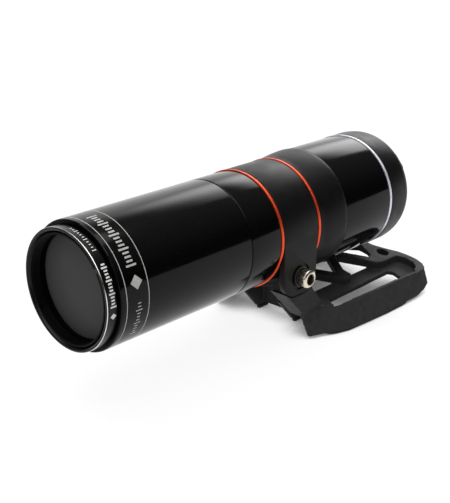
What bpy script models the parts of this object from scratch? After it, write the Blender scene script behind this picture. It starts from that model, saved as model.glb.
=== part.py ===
"""Electronic finder scope on a skeleton saddle bracket.

Frame: the tube lies along Y with its objective end towards -Y, +Z is up and X is the tilt axis.
The origin is on the surface the scope stands on, under the middle of its length.
Lengths are written in millimetres and scaled once, where the meshes are made.
"""
import math

import bmesh
import bpy
from mathutils import Matrix, Vector

MM = 0.001
WELD = 0.00001

# ---- driving dimensions (mm) ----------------------------------------------------------------
AXIS_HEIGHT = 51.5        # tube axis above the table
RING_Y = -5.8             # front accent ring, the zero of every station along the tube
GAP = 0.3                 # clearance between neighbouring pieces

TUBE_R = 27.1             # 54.2 mm barrel
FILTER_R = 25.3           # 2 inch filter
FILTER_FRONT = -97.7
SHIELD_FRONT = -92.1
SEAM = -19.5              # joint between dew shield and barrel
CLAMP_R = 27.4
ACCENT = 1.3              # width of an accent ring
CLAMP_LENGTH = 25.4       # distance between the two accent rings
FLARE_END = 44.5
SHELL_R = 28.4
TRIM_STATION = 79.2
CAP_R = 28.7
CAP_END = 97.4

PIVOT = (12.7, -19.2)     # tilt axis: station along the tube, height from the tube axis
EAR_FACE = CLAMP_R        # the ears' outer faces are tangent to the clamp ring
EAR_THICK = 3.0
EAR_CORNER = 8.7          # corner radius of an ear's lower end
EAR_CLEAR = 0.55          # room left round an ear's lower end
SCREW_R = 2.5             # M5
HEAD_R = 4.25
HEAD_LENGTH = 4.9
SHANK_END = 20.9          # inner end of a screw, from the mid-plane
SOCKET_DEPTH = 2.6
WASHER_R = 4.7
WASHER_THICK = 0.9
RECESS_R = 6.2            # round recess in each ear, for the washer
RECESS_DEPTH = 0.7

BORE_R = 23.6             # inside of the barrel
CELL_R = 23.3             # outside of the objective cell and of the field baffle
LENS_R = 21.6
RING_BORE = 25.9          # inside of the accent rings and the clamp ring
HOUSING_BORE = 26.6
CAP_WALL = 2.4

STANDOFF_CIRCLE = 17.0    # distance of the standoffs from the tube axis
CAP_SCREW_CIRCLE = 21.0
CAP_SCREW_R = 1.2
CAP_SCREW_HEAD_R = 2.2
HOOD_ANGLE = math.radians(40)
HOOD_MIDDLE = 19.2        # distance of the hood's middle from the tube axis
HOOD = (10.6, 4.6, 9.0)   # width, depth along the tube, height
JACK = (6.4, 4.4)
JACK_WALL = 0.9
USB = (9.2, 3.4)
USB_WALL = 0.6
USB_X, USB_Z = -9.0, 8.0
LIGHT_Z = -15.0
LIGHT_R = 1.5

ROOF_TOP = -31.3          # crown of the bracket's roof, from the tube axis
ROOF_SLOPE = 0.25
DECK_DROP = 3.6           # the lower deck lies this far under the roof's surface
DECK_THICK = 2.0
RAIL_BOTTOM = -50.0
RAIL_WALL = 2.3
RAKE = 0.918              # how far the arms lean back for each millimetre down
RIB_IN = 10.4             # inner and outer face of the two ribs under the roof
RIB_OUT = 12.4
ARM_IN = 16.4             # inner face of the arms and of their roots
ARM_OUT = 24.1            # outer face of the arms, inside the ears
ROOT_OUT = 26.8           # outer face of the arms' roots, below the ears

ROUND = 48                # facets round the barrel
ROUND_IN = 32             # facets round inner and small pieces

BOSS_R = 6.4              # round end of an arm on the tilt axis
FOOT_FRONT = 26.7         # front and rear station of an arm's foot
FOOT_REAR = 34.8
ROOT_BOTTOM = -42.7
WALL_BOTTOM = -48.6       # lower edge of the wall across the ribs
RIB_BOTTOM = -49.6
RIB_FRONT = 27.8
RIB_RAKE = 0.88
WEB = 4.6                 # width of the zigzag webs
TIP_PAD = (15.8, 60.4)    # where the zigzag meets the side, as x and station
PLATE_HOLE_R = 3.1        # bolt holes in the rear plate
PLATE_HOLE = (13.4, 97.7)
RELIEF_DEPTH = 2.1        # thickness left between the bolt holes

SIDES = ((1, "right"), (-1, "left"))

# ---- scene and collections ------------------------------------------------------------------
for old in list(bpy.data.objects):
    bpy.data.objects.remove(old, do_unlink=True)
parts = bpy.data.collections.new("finder_scope")
cutters = bpy.data.collections.new("cutters")
bpy.context.scene.collection.children.link(parts)
bpy.context.scene.collection.children.link(cutters)


def material(name, colour, roughness, metallic=0.0, alpha=1.0):
    mat = bpy.data.materials.new(name)
    mat.use_nodes = True
    shader = mat.node_tree.nodes["Principled BSDF"]
    shader.inputs["Base Color"].default_value = (*colour, 1.0)
    shader.inputs["Roughness"].default_value = roughness
    shader.inputs["Metallic"].default_value = metallic
    shader.inputs["Alpha"].default_value = alpha
    return mat


GLOSS_BLACK = ((0.012, 0.012, 0.013), 0.12, 0.0)
SATIN_BLACK = ((0.022, 0.022, 0.023), 0.42, 0.0)
ANODISED = ((0.03, 0.03, 0.031), 0.45, 0.35)
ORANGE = ((0.75, 0.12, 0.03), 0.3, 0.6)
SILVER = ((0.62, 0.6, 0.7), 0.25, 1.0)
STEEL = ((0.6, 0.57, 0.5), 0.22, 1.0)
GLASS = ((0.05, 0.05, 0.055), 0.05, 0.0)
BOARD = ((0.02, 0.12, 0.06), 0.4, 0.0)
BRASS = ((0.6, 0.45, 0.2), 0.3, 1.0)
RUBBER = ((0.02, 0.02, 0.02), 0.8, 0.0)


# ---- building tools -------------------------------------------------------------------------
def at(x=0.0, station=0.0, z=0.0):
    """A point given from the tube axis at the front accent ring, in metres."""
    return Vector((x, RING_Y + station, AXIS_HEIGHT + z)) * MM


def finish(obj, name, look, cutter=False):
    obj.name = name
    obj.data.name = name
    if cutter:
        obj.hide_render = True
        obj.display_type = "WIRE"
        cutters.objects.link(obj)
    else:
        obj.data.materials.clear()
        obj.data.materials.append(material(name, *look))
        parts.objects.link(obj)
    return obj


def turned(name, profile, look, steps=ROUND, closed=True, place=None, turn=None, cutter=False):
    """Revolve (station, radius) points, given from the rear along the outer side to the front
    and back inside, about the tube axis or about the axis that place and turn set."""
    mesh = bpy.data.meshes.new(name)
    points = [(radius * MM, 0.0, station * MM) for station, radius in profile]
    count = len(points)
    edges = [(i, (i + 1) % count) for i in range(count if closed else count - 1)]
    mesh.from_pydata(points, edges, [])
    obj = bpy.data.objects.new(name, mesh)
    obj.location = at() if place is None else place
    obj.rotation_euler = (-math.pi / 2, 0, 0) if turn is None else turn
    screw = obj.modifiers.new("turn", "SCREW")
    screw.axis = "Z"
    screw.steps = screw.render_steps = steps
    screw.use_merge_vertices = True
    screw.merge_threshold = WELD
    screw.use_smooth_shade = True
    return finish(obj, name, look, cutter)


def ring(name, outer, inner, look, steps=ROUND, **options):
    """A turned ring from its outer and inner sides, each listed from front to rear."""
    return turned(name, list(reversed(outer)) + list(inner), look, steps, True, **options)


def solid(name, outer, look, steps=ROUND_IN, **options):
    """A turned solid from its outer side, listed from front to rear."""
    profile = [(outer[-1][0], 0.0)] + list(reversed(outer)) + [(outer[0][0], 0.0)]
    return turned(name, profile, look, steps, False, **options)


def straight(front, rear, radius):
    return [(front, radius), (rear, radius)]


def box(name, centre, size, look=None, cutter=False, tilt=(0, 0, 0)):
    """A box from a primitive cube, centre and size in mm from the tube axis."""
    mesh = bpy.data.meshes.new(name)
    shape = bmesh.new()
    bmesh.ops.create_cube(shape, size=1.0)
    bmesh.ops.scale(shape, vec=Vector(size) * MM, verts=shape.verts)
    shape.to_mesh(mesh)
    shape.free()
    obj = bpy.data.objects.new(name, mesh)
    obj.location = at(*centre)
    obj.rotation_euler = tilt
    return finish(obj, name, look, cutter)


# a plate's outline plane: (outline x, outline y, thickness) axes in the object's frame
PLAN = Matrix(((1, 0, 0, 0), (0, 1, 0, 0), (0, 0, 1, 0), (0, 0, 0, 1)))     # X, Y, up
SIDE = Matrix(((0, 0, 1, 0), (1, 0, 0, 0), (0, 1, 0, 0), (0, 0, 0, 1)))     # Y, Z, along X
FRONT = Matrix(((1, 0, 0, 0), (0, 0, -1, 0), (0, 1, 0, 0), (0, 0, 0, 1)))   # X, Z, along -Y


def plate(name, outlines, plane, low, high, look=None, cutter=True):
    """Flat outlines, the second and later ones being holes, made thick from low to high."""
    curve = bpy.data.curves.new(name, "CURVE")
    curve.dimensions = "2D"
    curve.fill_mode = "BOTH"
    curve.extrude = (high - low) / 2 * MM
    for outline in outlines:
        spline = curve.splines.new("POLY")
        spline.points.add(len(outline) - 1)
        for point, (u, v) in zip(spline.points, outline):
            point.co = (u * MM, v * MM, 0.0, 1.0)
        spline.use_cyclic_u = True
    flat = bpy.data.objects.new(name, curve)
    parts.objects.link(flat)
    middle = (low + high) / 2
    shift = plane.to_3x3() @ Vector((0, 0, middle)) * MM
    flat.matrix_world = Matrix.Translation(at() + shift) @ plane
    bpy.context.view_layer.update()
    seen = flat.evaluated_get(bpy.context.evaluated_depsgraph_get())
    mesh = bpy.data.meshes.new_from_object(seen)
    shape = bmesh.new()
    shape.from_mesh(mesh)
    bmesh.ops.remove_doubles(shape, verts=shape.verts, dist=WELD)
    bmesh.ops.recalc_face_normals(shape, faces=shape.faces)
    shape.to_mesh(mesh)
    shape.free()
    obj = bpy.data.objects.new(name, mesh)
    obj.matrix_world = flat.matrix_world.copy()
    bpy.data.objects.remove(flat, do_unlink=True)
    return finish(obj, name, look, cutter)


def combine(obj, other, operation):
    boolean = obj.modifiers.new(other.name, "BOOLEAN")
    boolean.operation = operation
    boolean.solver = "EXACT"
    boolean.object = other
    return obj


def arc(centre, radius, start, end, steps):
    """Points on an arc from start to end degrees."""
    span = [math.radians(start + (end - start) * i / steps) for i in range(steps + 1)]
    return [(centre[0] + radius * math.cos(a), centre[1] + radius * math.sin(a)) for a in span]


def mirrored(half):
    """A full outline from its +X half, listed from the front middle to the rear middle."""
    return half + [(-x, y) for x, y in reversed(half) if abs(x) > 0.01]


# ---- filter on the front --------------------------------------------------------------------
SEAT = SHIELD_FRONT - GAP
ring("filter_ring",
     [(FILTER_FRONT, FILTER_R - 0.4), (FILTER_FRONT + 0.4, FILTER_R), (SEAT - 0.2, FILTER_R),
      (SEAT, FILTER_R - 0.2), (SEAT, 24.0), (-87.4, 24.0)],
     [(FILTER_FRONT, 23.8), (FILTER_FRONT + 0.5, 23.3), (-88.5, 23.3), (-88.5, 21.8),
      (-87.4, 21.8)], SATIN_BLACK)
retainer = ring("filter_retainer", straight(-97.2, -90.6, 23.0), straight(-97.2, -90.6, 22.0),
                SATIN_BLACK)
spanner_slots = box("spanner_slots", (0, -97.2, 0), (50, 2.4, 1.8), cutter=True,
                    tilt=(0, math.radians(-35), 0))
combine(retainer, spanner_slots, "DIFFERENCE")
solid("filter_glass", straight(-90.3, -88.8, 22.9), GLASS)

# ---- dew shield and barrel ------------------------------------------------------------------
ring("dew_shield",
     [(SHIELD_FRONT, TUBE_R - 0.5), (SHIELD_FRONT + 0.5, TUBE_R), (SEAM - 0.4, TUBE_R),
      (SEAM - 0.15, TUBE_R - 0.25)],
     [(SHIELD_FRONT, 24.35), (-86.8, 24.35), (-86.0, 25.0), (-28.6, 25.0), (-28.6, 25.6),
      (SEAM - 0.15, 25.6)], GLOSS_BLACK)
ring("shield_oring", straight(-21.9, -20.9, 25.3), straight(-21.9, -20.9, 24.65), RUBBER,
     ROUND_IN)
ring("main_barrel",
     [(-28.2, 25.0), (-27.9, 25.3), (-24.0, 25.3), (-24.0, 24.35), (-20.6, 24.35),
      (-20.6, 25.3), (SEAM + 0.15, 25.3), (SEAM + 0.15, TUBE_R - 0.25), (SEAM + 0.4, TUBE_R),
      (-1.2, TUBE_R), (-0.95, TUBE_R - 0.25), (-0.95, 25.6), (29.8, 25.6)],
     straight(-28.2, 29.8, BORE_R), GLOSS_BLACK)


# ---- objective inside the barrel ------------------------------------------------------------
def lens(name, front, rear, radius, front_bulge, rear_bulge, steps=4):
    """A lens between two edge stations; a bulge is positive where the face is convex."""
    def face(edge, bulge):
        points = []
        for i in range(1, steps + 1):
            share = i / steps
            points.append((edge + bulge * (1 - share ** 2), radius * share))
        return points
    front_face = face(front, -front_bulge)
    rear_face = list(reversed(face(rear, rear_bulge)))
    profile = ([(rear + rear_bulge, 0.0)] + list(reversed(rear_face)) +
               list(reversed(front_face)) + [(front - front_bulge, 0.0)])
    return turned(name, profile, GLASS, ROUND_IN, False)


ring("objective_cell", straight(-27.8, -2.0, CELL_R),
     [(-27.8, 21.9), (-3.6, 21.9), (-3.6, 20.4), (-2.0, 20.4)], SATIN_BLACK, ROUND_IN)
lens("objective_rear_lens", -8.0, -3.9, LENS_R, 1.2, -0.8)
ring("lens_spacer", straight(-11.5, -8.5, LENS_R), straight(-11.5, -8.5, 20.6), SATIN_BLACK,
     ROUND_IN)
lens("objective_front_lens", -17.6, -11.9, LENS_R, 2.5, 1.0)
ring("lens_retainer", straight(-20.6, -18.2, LENS_R), straight(-20.6, -18.2, 20.4), SATIN_BLACK,
     ROUND_IN)
ring("field_baffle", straight(14.0, 15.6, CELL_R), straight(14.0, 15.6, 13.0), SATIN_BLACK,
     ROUND_IN)


# ---- accent rings and clamp ring ------------------------------------------------------------
def accent(name, station, radius):
    ring(name, [(station - ACCENT / 2, radius - 0.3), (station - 0.35, radius),
                (station + 0.35, radius), (station + ACCENT / 2, radius - 0.3)],
         straight(station - ACCENT / 2, station + ACCENT / 2, RING_BORE), ORANGE)


accent("accent_ring_front", 0.0, 27.5)
accent("accent_ring_rear", CLAMP_LENGTH, 27.6)

clamp_front = ACCENT / 2 + GAP
clamp_rear = CLAMP_LENGTH - ACCENT / 2 - GAP
clamp = ring("clamp_ring",
             [(clamp_front, CLAMP_R - 0.25), (clamp_front + 0.25, CLAMP_R),
              (clamp_rear - 0.25, CLAMP_R), (clamp_rear, CLAMP_R - 0.25)],
             straight(clamp_front, clamp_rear, RING_BORE), SATIN_BLACK)
ear_rear = clamp_rear - 0.7
ear_front_corner = (clamp_front + EAR_CORNER, PIVOT[1])
ear_rear_corner = (ear_rear - EAR_CORNER, PIVOT[1])
ear_outline = ([(ear_rear, 0.0), (clamp_front, 0.0)] +
               arc(ear_front_corner, EAR_CORNER, 180, 270, 6) +
               arc(ear_rear_corner, EAR_CORNER, 270, 360, 6))
ears = plate("ear_blanks", [ear_outline], SIDE, EAR_FACE - EAR_THICK, EAR_FACE - 0.02)
ears_far = plate("ear_blanks_far", [ear_outline], SIDE, 0.02 - EAR_FACE, EAR_THICK - EAR_FACE)
bore = solid("clamp_bore", straight(-5, 35, RING_BORE), SATIN_BLACK, ROUND, cutter=True)
for blank in (ears, ears_far):
    combine(clamp, blank, "UNION")
combine(clamp, bore, "DIFFERENCE")


def cross_bore(name, radius, low, high, steps=24):
    """A cylinder along X on the tilt axis."""
    return solid(name, straight(low, high, radius), SATIN_BLACK, steps,
                 place=at(0, *PIVOT), turn=(0, math.pi / 2, 0), cutter=True)


combine(clamp, cross_bore("screw_bore", SCREW_R + GAP, -40, 40), "DIFFERENCE")
for side, name in SIDES:
    ends = sorted((side * (EAR_FACE - RECESS_DEPTH), side * (EAR_FACE + 2)))
    combine(clamp, cross_bore("ear_recess_" + name, RECESS_R, *ends), "DIFFERENCE")

# ---- pivot screws and washers ---------------------------------------------------------------
washer_seat = EAR_FACE - RECESS_DEPTH + GAP
head_seat = washer_seat + WASHER_THICK + GAP
head_face = head_seat + HEAD_LENGTH


def pivot_screw(side, name):
    turn = (0, side * math.pi / 2, 0)
    place = at(0, *PIVOT)
    washer_face = washer_seat + WASHER_THICK
    ring("pivot_washer_" + name, straight(washer_seat, washer_face, WASHER_R),
         straight(washer_seat, washer_face, SCREW_R + GAP), SATIN_BLACK, 24,
         place=place, turn=turn)
    screw = solid("pivot_screw_" + name,
                  [(SHANK_END, SCREW_R - 0.4), (SHANK_END + 0.4, SCREW_R),
                   (head_seat, SCREW_R), (head_seat, HEAD_R), (head_face - 0.4, HEAD_R),
                   (head_face, HEAD_R - 0.4)], STEEL, 24, place=place, turn=turn)
    socket = solid("socket_" + name, straight(head_face - SOCKET_DEPTH, head_face + 1, 2.3), STEEL, 6,
                   place=place, turn=turn, cutter=True)
    combine(screw, socket, "DIFFERENCE")


pivot_screw(1, "right")
pivot_screw(-1, "left")

# ---- rear housing ---------------------------------------------------------------------------
flare_front = CLAMP_LENGTH + ACCENT / 2 + GAP
ring("rear_flare",
     [(flare_front, 27.0), (flare_front + 0.25, 27.25), (28.6, 27.26), (33.0, 27.7),
      (37.5, 28.2), (42.0, 28.57), (FLARE_END - 0.15, 28.8)],
     [(flare_front, RING_BORE), (30.4, RING_BORE), (33.0, HOUSING_BORE), (FLARE_END - 0.15, HOUSING_BORE)],
     SATIN_BLACK)
shell_rear = TRIM_STATION - GAP
ring("rear_shell",
     [(FLARE_END + 0.15, SHELL_R - 0.2), (FLARE_END + 0.35, SHELL_R), (shell_rear - 0.2, SHELL_R),
      (shell_rear, SHELL_R - 0.2)],
     straight(FLARE_END + 0.15, shell_rear, HOUSING_BORE), GLOSS_BLACK)
trim_rear = TRIM_STATION + 1.2
ring("trim_ring",
     [(TRIM_STATION, CAP_R - 0.15), (TRIM_STATION + 0.2, CAP_R + 0.05),
      (trim_rear - 0.2, CAP_R + 0.05), (trim_rear, CAP_R - 0.15)],
     straight(TRIM_STATION, trim_rear, HOUSING_BORE), SILVER)
cap_front = trim_rear + GAP
cap = turned("rear_cap",
             [(CAP_END, 0.0), (CAP_END, 24.8), (96.6, 26.6), (95.2, 27.75), (92.5, 28.5),
              (90.0, CAP_R), (cap_front + 0.2, CAP_R), (cap_front, CAP_R - 0.2),
              (cap_front, HOUSING_BORE), (93.6, HOUSING_BORE), (CAP_END - CAP_WALL, 25.0),
              (CAP_END - CAP_WALL, 0.0)], SATIN_BLACK, ROUND, False)

# electronics
ring("sensor_carrier", straight(66.0, 69.0, HOUSING_BORE - GAP), straight(66.0, 69.0, 11.0),
     SATIN_BLACK, ROUND_IN)
solid("sensor_board", straight(69.3, 70.9, 20.5), BOARD)
box("image_sensor", (0, 67.95, 0), (15.0, 2.1, 12.0), GLASS)
solid("main_board", straight(84.0, 85.6, HOUSING_BORE - GAP), BOARD)
for index in range(3):
    angle = math.radians(90 + 120 * index)
    solid("standoff_%d" % (index + 1), straight(71.2, 83.7, 2.2), BRASS, 12,
          place=at(STANDOFF_CIRCLE * math.cos(angle), 0, STANDOFF_CIRCLE * math.sin(angle)))

# ports on the rear face
hood_x, hood_z = HOOD_MIDDLE * math.cos(HOOD_ANGLE), HOOD_MIDDLE * math.sin(HOOD_ANGLE)
hood_turn = (0, math.pi / 2 - HOOD_ANGLE, 0)
hood = box("jack_hood", (hood_x, CAP_END + GAP + HOOD[1] / 2, hood_z), HOOD, SATIN_BLACK,
           tilt=hood_turn)
rounding = hood.modifiers.new("round", "BEVEL")
rounding.width = 2.2 * MM
rounding.segments = 4
rounding.limit_method = "ANGLE"
jack_hole = box("jack_hole", (hood_x, CAP_END, hood_z),
                (JACK[0] + 2 * GAP, 14, JACK[1] + 2 * GAP), cutter=True, tilt=hood_turn)
combine(hood, jack_hole, "DIFFERENCE")
combine(cap, jack_hole, "DIFFERENCE")
jack = box("aux_jack", (hood_x, 93.9, hood_z), (JACK[0], 16.0, JACK[1]), SATIN_BLACK,
           tilt=hood_turn)
jack_mouth = box("jack_mouth", (hood_x, 101.9, hood_z),
                 (JACK[0] - 2 * JACK_WALL, 14, JACK[1] - 2 * JACK_WALL), cutter=True,
                 tilt=hood_turn)
combine(jack, jack_mouth, "DIFFERENCE")
usb_hole = box("usb_hole", (USB_X, CAP_END, USB_Z), (USB[0] + 0.8, 8, USB[1] + 0.8), cutter=True)
combine(cap, usb_hole, "DIFFERENCE")
usb = box("usb_port", (USB_X, 91.7, USB_Z), (USB[0], 11.2, USB[1]), STEEL)
usb_mouth = box("usb_mouth", (USB_X, 97.0, USB_Z),
                (USB[0] - 2 * USB_WALL, 10, USB[1] - 2 * USB_WALL), cutter=True)
combine(usb, usb_mouth, "DIFFERENCE")
light_place = at(0, 0, LIGHT_Z)
light_hole = solid("light_hole", straight(90, 100, LIGHT_R + GAP), GLASS, 16,
                   place=light_place, cutter=True)
combine(cap, light_hole, "DIFFERENCE")
solid("status_window", straight(93.2, CAP_END + 0.2, LIGHT_R), GLASS, 16, place=light_place)
for index in range(3):
    angle = math.radians(90 + 120 * index)
    place = at(CAP_SCREW_CIRCLE * math.cos(angle), 0, CAP_SCREW_CIRCLE * math.sin(angle))
    screw_bore = solid("cap_bore_%d" % (index + 1), straight(90, 100, CAP_SCREW_R + GAP), STEEL,
                       16, place=place, cutter=True)
    combine(cap, screw_bore, "DIFFERENCE")
    seat = CAP_END + GAP
    solid("cap_screw_%d" % (index + 1),
          [(89.0, CAP_SCREW_R), (seat, CAP_SCREW_R), (seat, CAP_SCREW_HEAD_R),
           (seat + 0.7, CAP_SCREW_HEAD_R), (seat + 1.1, 1.6)], STEEL, 16, place=place)

# ---- bracket --------------------------------------------------------------------------------
# plan outline of the roof, half from the front middle to the rear middle
rear_edge = [(35.4, 100.0), (35.2, 103.5), (34.0, 106.3), (31.4, 108.4), (27.0, 109.3),
             (22.0, 108.4), (17.0, 106.4), (11.5, 102.6), (6.0, 99.4), (0.0, 98.2)]
front_side = [(26.8, 26.0), (28.4, 27.5), (30.4, 32.0), (32.6, 37.5), (33.6, 50.0), (34.0, 66.0)]
deck_half = [(0.0, 27.0)] + front_side + rear_edge
centre_hole = mirrored([(0.0, 37.5), (14.5, 37.5), (14.5, 92.0), (0.0, 92.0)])
window = [(23.2, 38.4), (24.6, 36.8), (29.6, 36.8), (31.6, 50.0), (32.2, 66.0), (33.0, 88.0),
          (30.0, 91.0), (24.6, 91.6), (22.6, 89.6)]
window_far = [(-x, y) for x, y in reversed(window)]


def roof_prism(name, top, bottom):
    """The gable-shaped layer between two depths under the roof's surface, along the bracket."""
    reach = 45.0
    drop = ROOF_SLOPE * reach
    outline = [(-reach, ROOF_TOP - drop - top), (0, ROOF_TOP - top), (reach, ROOF_TOP - drop - top),
               (reach, ROOF_TOP - drop - bottom), (0, ROOF_TOP - bottom),
               (-reach, ROOF_TOP - drop - bottom)]
    return plate(name, [outline], FRONT, -130, 10)


bracket = plate("bracket", [mirrored(deck_half), centre_hole, window, window_far], PLAN, -62, -22,
                ANODISED, cutter=False)
combine(bracket, roof_prism("deck_layer", DECK_DROP, DECK_DROP + DECK_THICK), "INTERSECT")

# upper level: front and rear plates joined by a zigzag of webs
rear_plate_half = ([(0.0, 93.8), (11.4, 89.2), (13.6, 84.8), (16.4, 84.4), (19.4, 88.8), (19.4, 101.6),
                    (23.0, 104.4), (28.0, 104.6), (31.2, 102.4), (32.6, 98.5), (34.6, 98.5)] +
                   rear_edge[1:])
front_plate_half = [(0.0, 27.2), (26.4, 26.2), (27.9, 27.7), (29.9, 32.1), (30.6, 34.0),
                    (24.2, 35.0), (20.0, 34.6), (0.0, 34.6)]
upper = plate("upper_level", [mirrored(rear_plate_half)], PLAN, -63, -21)
combine(upper, plate("front_plate", [mirrored(front_plate_half)], PLAN, -63.5, -20.5), "UNION")
zigzag = [((18.0, 32.0), (0.0, 44.0)), ((0.0, 43.4), (16.8, 58.6)),
          ((16.6, 59.2), (0.0, 69.8)), ((0.0, 72.4), (15.8, 86.8))]


def web(start, end, reach=1.4):
    """The outline of a straight web between two plan points, carried reach past each."""
    a, b = Vector(start), Vector(end)
    along = (b - a).normalized()
    across = Vector((-along.y, along.x)) * (WEB / 2)
    a, b = a - along * reach, b + along * reach
    return [tuple(a - across), tuple(b - across), tuple(b + across), tuple(a + across)]


for index, span in enumerate(zigzag):
    for side, name in SIDES:
        ends = [(side * x, y) for x, y in span]
        depth = 0.3 * index + (0.15 if side > 0 else 0.0)
        strip = plate("web_%d_%s" % (index, name), [web(*ends)], PLAN, -64 - depth, -20 + depth)
        combine(upper, strip, "UNION")
for side, name in SIDES:
    pad = [(side * (TIP_PAD[0] + du), TIP_PAD[1] + dv) for du, dv in
           ((-3.4, -4.0), (1.4, -3.8), (3.2, -1.4), (3.4, 2.4), (2.0, 4.0), (-3.4, 3.6))]
    combine(upper, plate("tip_pad_" + name, [pad], PLAN, -66, -18), "UNION")
combine(upper, roof_prism("upper_layer", 0.0, DECK_DROP + 0.2), "INTERSECT")
combine(bracket, upper, "UNION")
# the rear plate is thinner between its two bolt holes
relief_half = [(0.0, 88.0), (11.4, 88.0), (11.4, 94.6), (7.0, 96.0), (0.0, 95.4)]
relief = plate("rear_relief", [mirrored(relief_half)], PLAN, -61, -23)
combine(relief, roof_prism("relief_layer", RELIEF_DEPTH, 8.0), "INTERSECT")
combine(bracket, relief, "DIFFERENCE")


# side rails: flared walls that widen towards the rear, lofted between sections
def loft(name, sections, look=None, cutter=True):
    """Join equal-sided sections, each a list of (x, station, z), into one closed solid."""
    mesh = bpy.data.meshes.new(name)
    shape = bmesh.new()
    rows = [[shape.verts.new(at(*point) - at()) for point in section] for section in sections]
    sides = len(rows[0])
    for near, far in zip(rows, rows[1:]):
        for i in range(sides):
            j = (i + 1) % sides
            shape.faces.new((near[i], near[j], far[j], far[i]))
    shape.faces.new(rows[0][::-1])
    shape.faces.new(rows[-1])
    bmesh.ops.recalc_face_normals(shape, faces=shape.faces)
    shape.to_mesh(mesh)
    shape.free()
    obj = bpy.data.objects.new(name, mesh)
    obj.location = at()
    return finish(obj, name, look, cutter)


# (station at the top and at the bottom, outer x at the top and at the bottom, bottom z, and how
# far the top lies under the roof's surface)
rail_lines = [(15.8, 17.2, 26.4, 30.2, RAIL_BOTTOM, 1.0), (24.6, 24.6, 28.6, 33.0, RAIL_BOTTOM, 1.4),
              (31.0, 31.0, 31.0, 36.0, RAIL_BOTTOM, 1.6), (38.0, 38.0, 33.0, 38.1, RAIL_BOTTOM, 0.9),
              (52.0, 52.0, 34.0, 39.3, RAIL_BOTTOM, 0.0), (66.0, 66.0, 34.5, 40.0, RAIL_BOTTOM, 0.0),
              (91.5, 91.5, 35.3, 40.2, RAIL_BOTTOM, 0.0), (100.0, 98.6, 35.8, 39.7, -48.5, 0.0),
              (105.2, 103.4, 35.0, 38.6, -46.7, 0.0)]


def rail(side, name):
    rows = []
    for top_y, bottom_y, top_x, bottom_x, bottom_z, drop in rail_lines:
        roof_z = ROOF_TOP - ROOF_SLOPE * (top_x - 1.0) - drop
        inner_top = top_x - RAIL_WALL
        inner_bottom = bottom_x - RAIL_WALL * 0.8
        rows.append([(side * top_x, top_y, roof_z - 0.9), (side * (top_x - 0.7), top_y, roof_z),
                     (side * inner_top, top_y, roof_z),
                     (side * inner_bottom, bottom_y, bottom_z),
                     (side * bottom_x, bottom_y, bottom_z)])
    return loft("rail_" + name, rows)


for side, name in SIDES:
    combine(bracket, rail(side, name), "UNION")


# arms that reach forward and up to the tilt axis, with ribs that carry the front feet
def rake_front(z, foot=FOOT_FRONT, rake=RAKE):
    """Station of a raked front face at a height below the tube axis."""
    return foot + rake * (-51.0 - z)


arm_outline = (arc(PIVOT, BOSS_R, 20, 200, 8) + [(5.2, -26.0), (rake_front(-30.0), -30.0)] +
               [(rake_front(-40.0), -40.0), (30.0, -40.0), (25.6, -31.6), (20.4, -24.0)])
root_top = (arc(ear_front_corner, EAR_CORNER + EAR_CLEAR, 228, 270, 4) +
            arc(ear_rear_corner, EAR_CORNER + EAR_CLEAR, 270, 306, 4))
root_outline = root_top + [(24.0, -30.2), (30.0, -37.6), (33.2, -41.2), (FOOT_REAR, ROOT_BOTTOM),
                           (rake_front(ROOT_BOTTOM), ROOT_BOTTOM), (rake_front(-36.0), -36.0)]
rib_outline = [(FOOT_REAR, -36.0), (FOOT_REAR, RIB_BOTTOM),
               (rake_front(RIB_BOTTOM, RIB_FRONT, RIB_RAKE), RIB_BOTTOM),
               (rake_front(-38.0, RIB_FRONT, RIB_RAKE), -38.0), (27.0, -34.5)]
for side, name in SIDES:
    for piece, outline, inner, outer in (("arm_", arm_outline, ARM_IN, ARM_OUT),
                                         ("root_", root_outline, ARM_IN, ROOT_OUT),
                                         ("rib_", rib_outline, RIB_IN, RIB_OUT)):
        span = sorted((side * inner, side * outer))
        combine(bracket, plate(piece + name, [outline], SIDE, *span), "UNION")
# a wall across the ribs, hung under the roof's front end
wall_half = [(RIB_OUT - 0.4, WALL_BOTTOM), (RIB_OUT + 1.2, ROOT_BOTTOM - 0.6),
             (ARM_OUT - 1.2, ROOT_BOTTOM + 0.2), (ARM_OUT - 1.2, -38.9), (0.0, -33.1)]
combine(bracket, plate("cross_wall", [mirrored(wall_half)], FRONT, -34.4, -30.6), "UNION")

# room for the clamp ring and the rear housing, and the screw holes
combine(bracket, solid("ring_room", straight(-10, 27.0, CLAMP_R + 1.2), SATIN_BLACK, ROUND,
                       cutter=True), "DIFFERENCE")
combine(bracket, cross_bore("arm_bore", SCREW_R + GAP, -40, 40), "DIFFERENCE")
for side, name in SIDES:
    hole = solid("plate_hole_" + name, straight(-70, -10, PLATE_HOLE_R), STEEL, 20,
                 place=at(side * PLATE_HOLE[0], PLATE_HOLE[1], 0), turn=(0, 0, 0), cutter=True)
    combine(bracket, hole, "DIFFERENCE")


# ---- feet -----------------------------------------------------------------------------------
FLOOR = -AXIS_HEIGHT


def rail_foot(side, name):
    """A long strip under a rail with slanted ends, following the rail's outer edge."""
    top = RAIL_BOTTOM - GAP
    line = [(25.4, 28.6, 32.6, 33.6), (31.0, 31.0, 35.6, 35.2), (38.0, 38.0, 37.8, 37.4),
            (66.0, 66.0, 39.8, 39.3), (82.6, 79.2, 40.0, 39.4)]
    rows = [[(side * x_top, y_top, top), (side * x_low, y_low, FLOOR),
             (side * (x_low - 1.9), y_low, FLOOR), (side * (x_top - 1.9), y_top, top)]
            for y_top, y_low, x_top, x_low in line]
    loft("rail_foot_" + name, rows, RUBBER, cutter=False)


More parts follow.
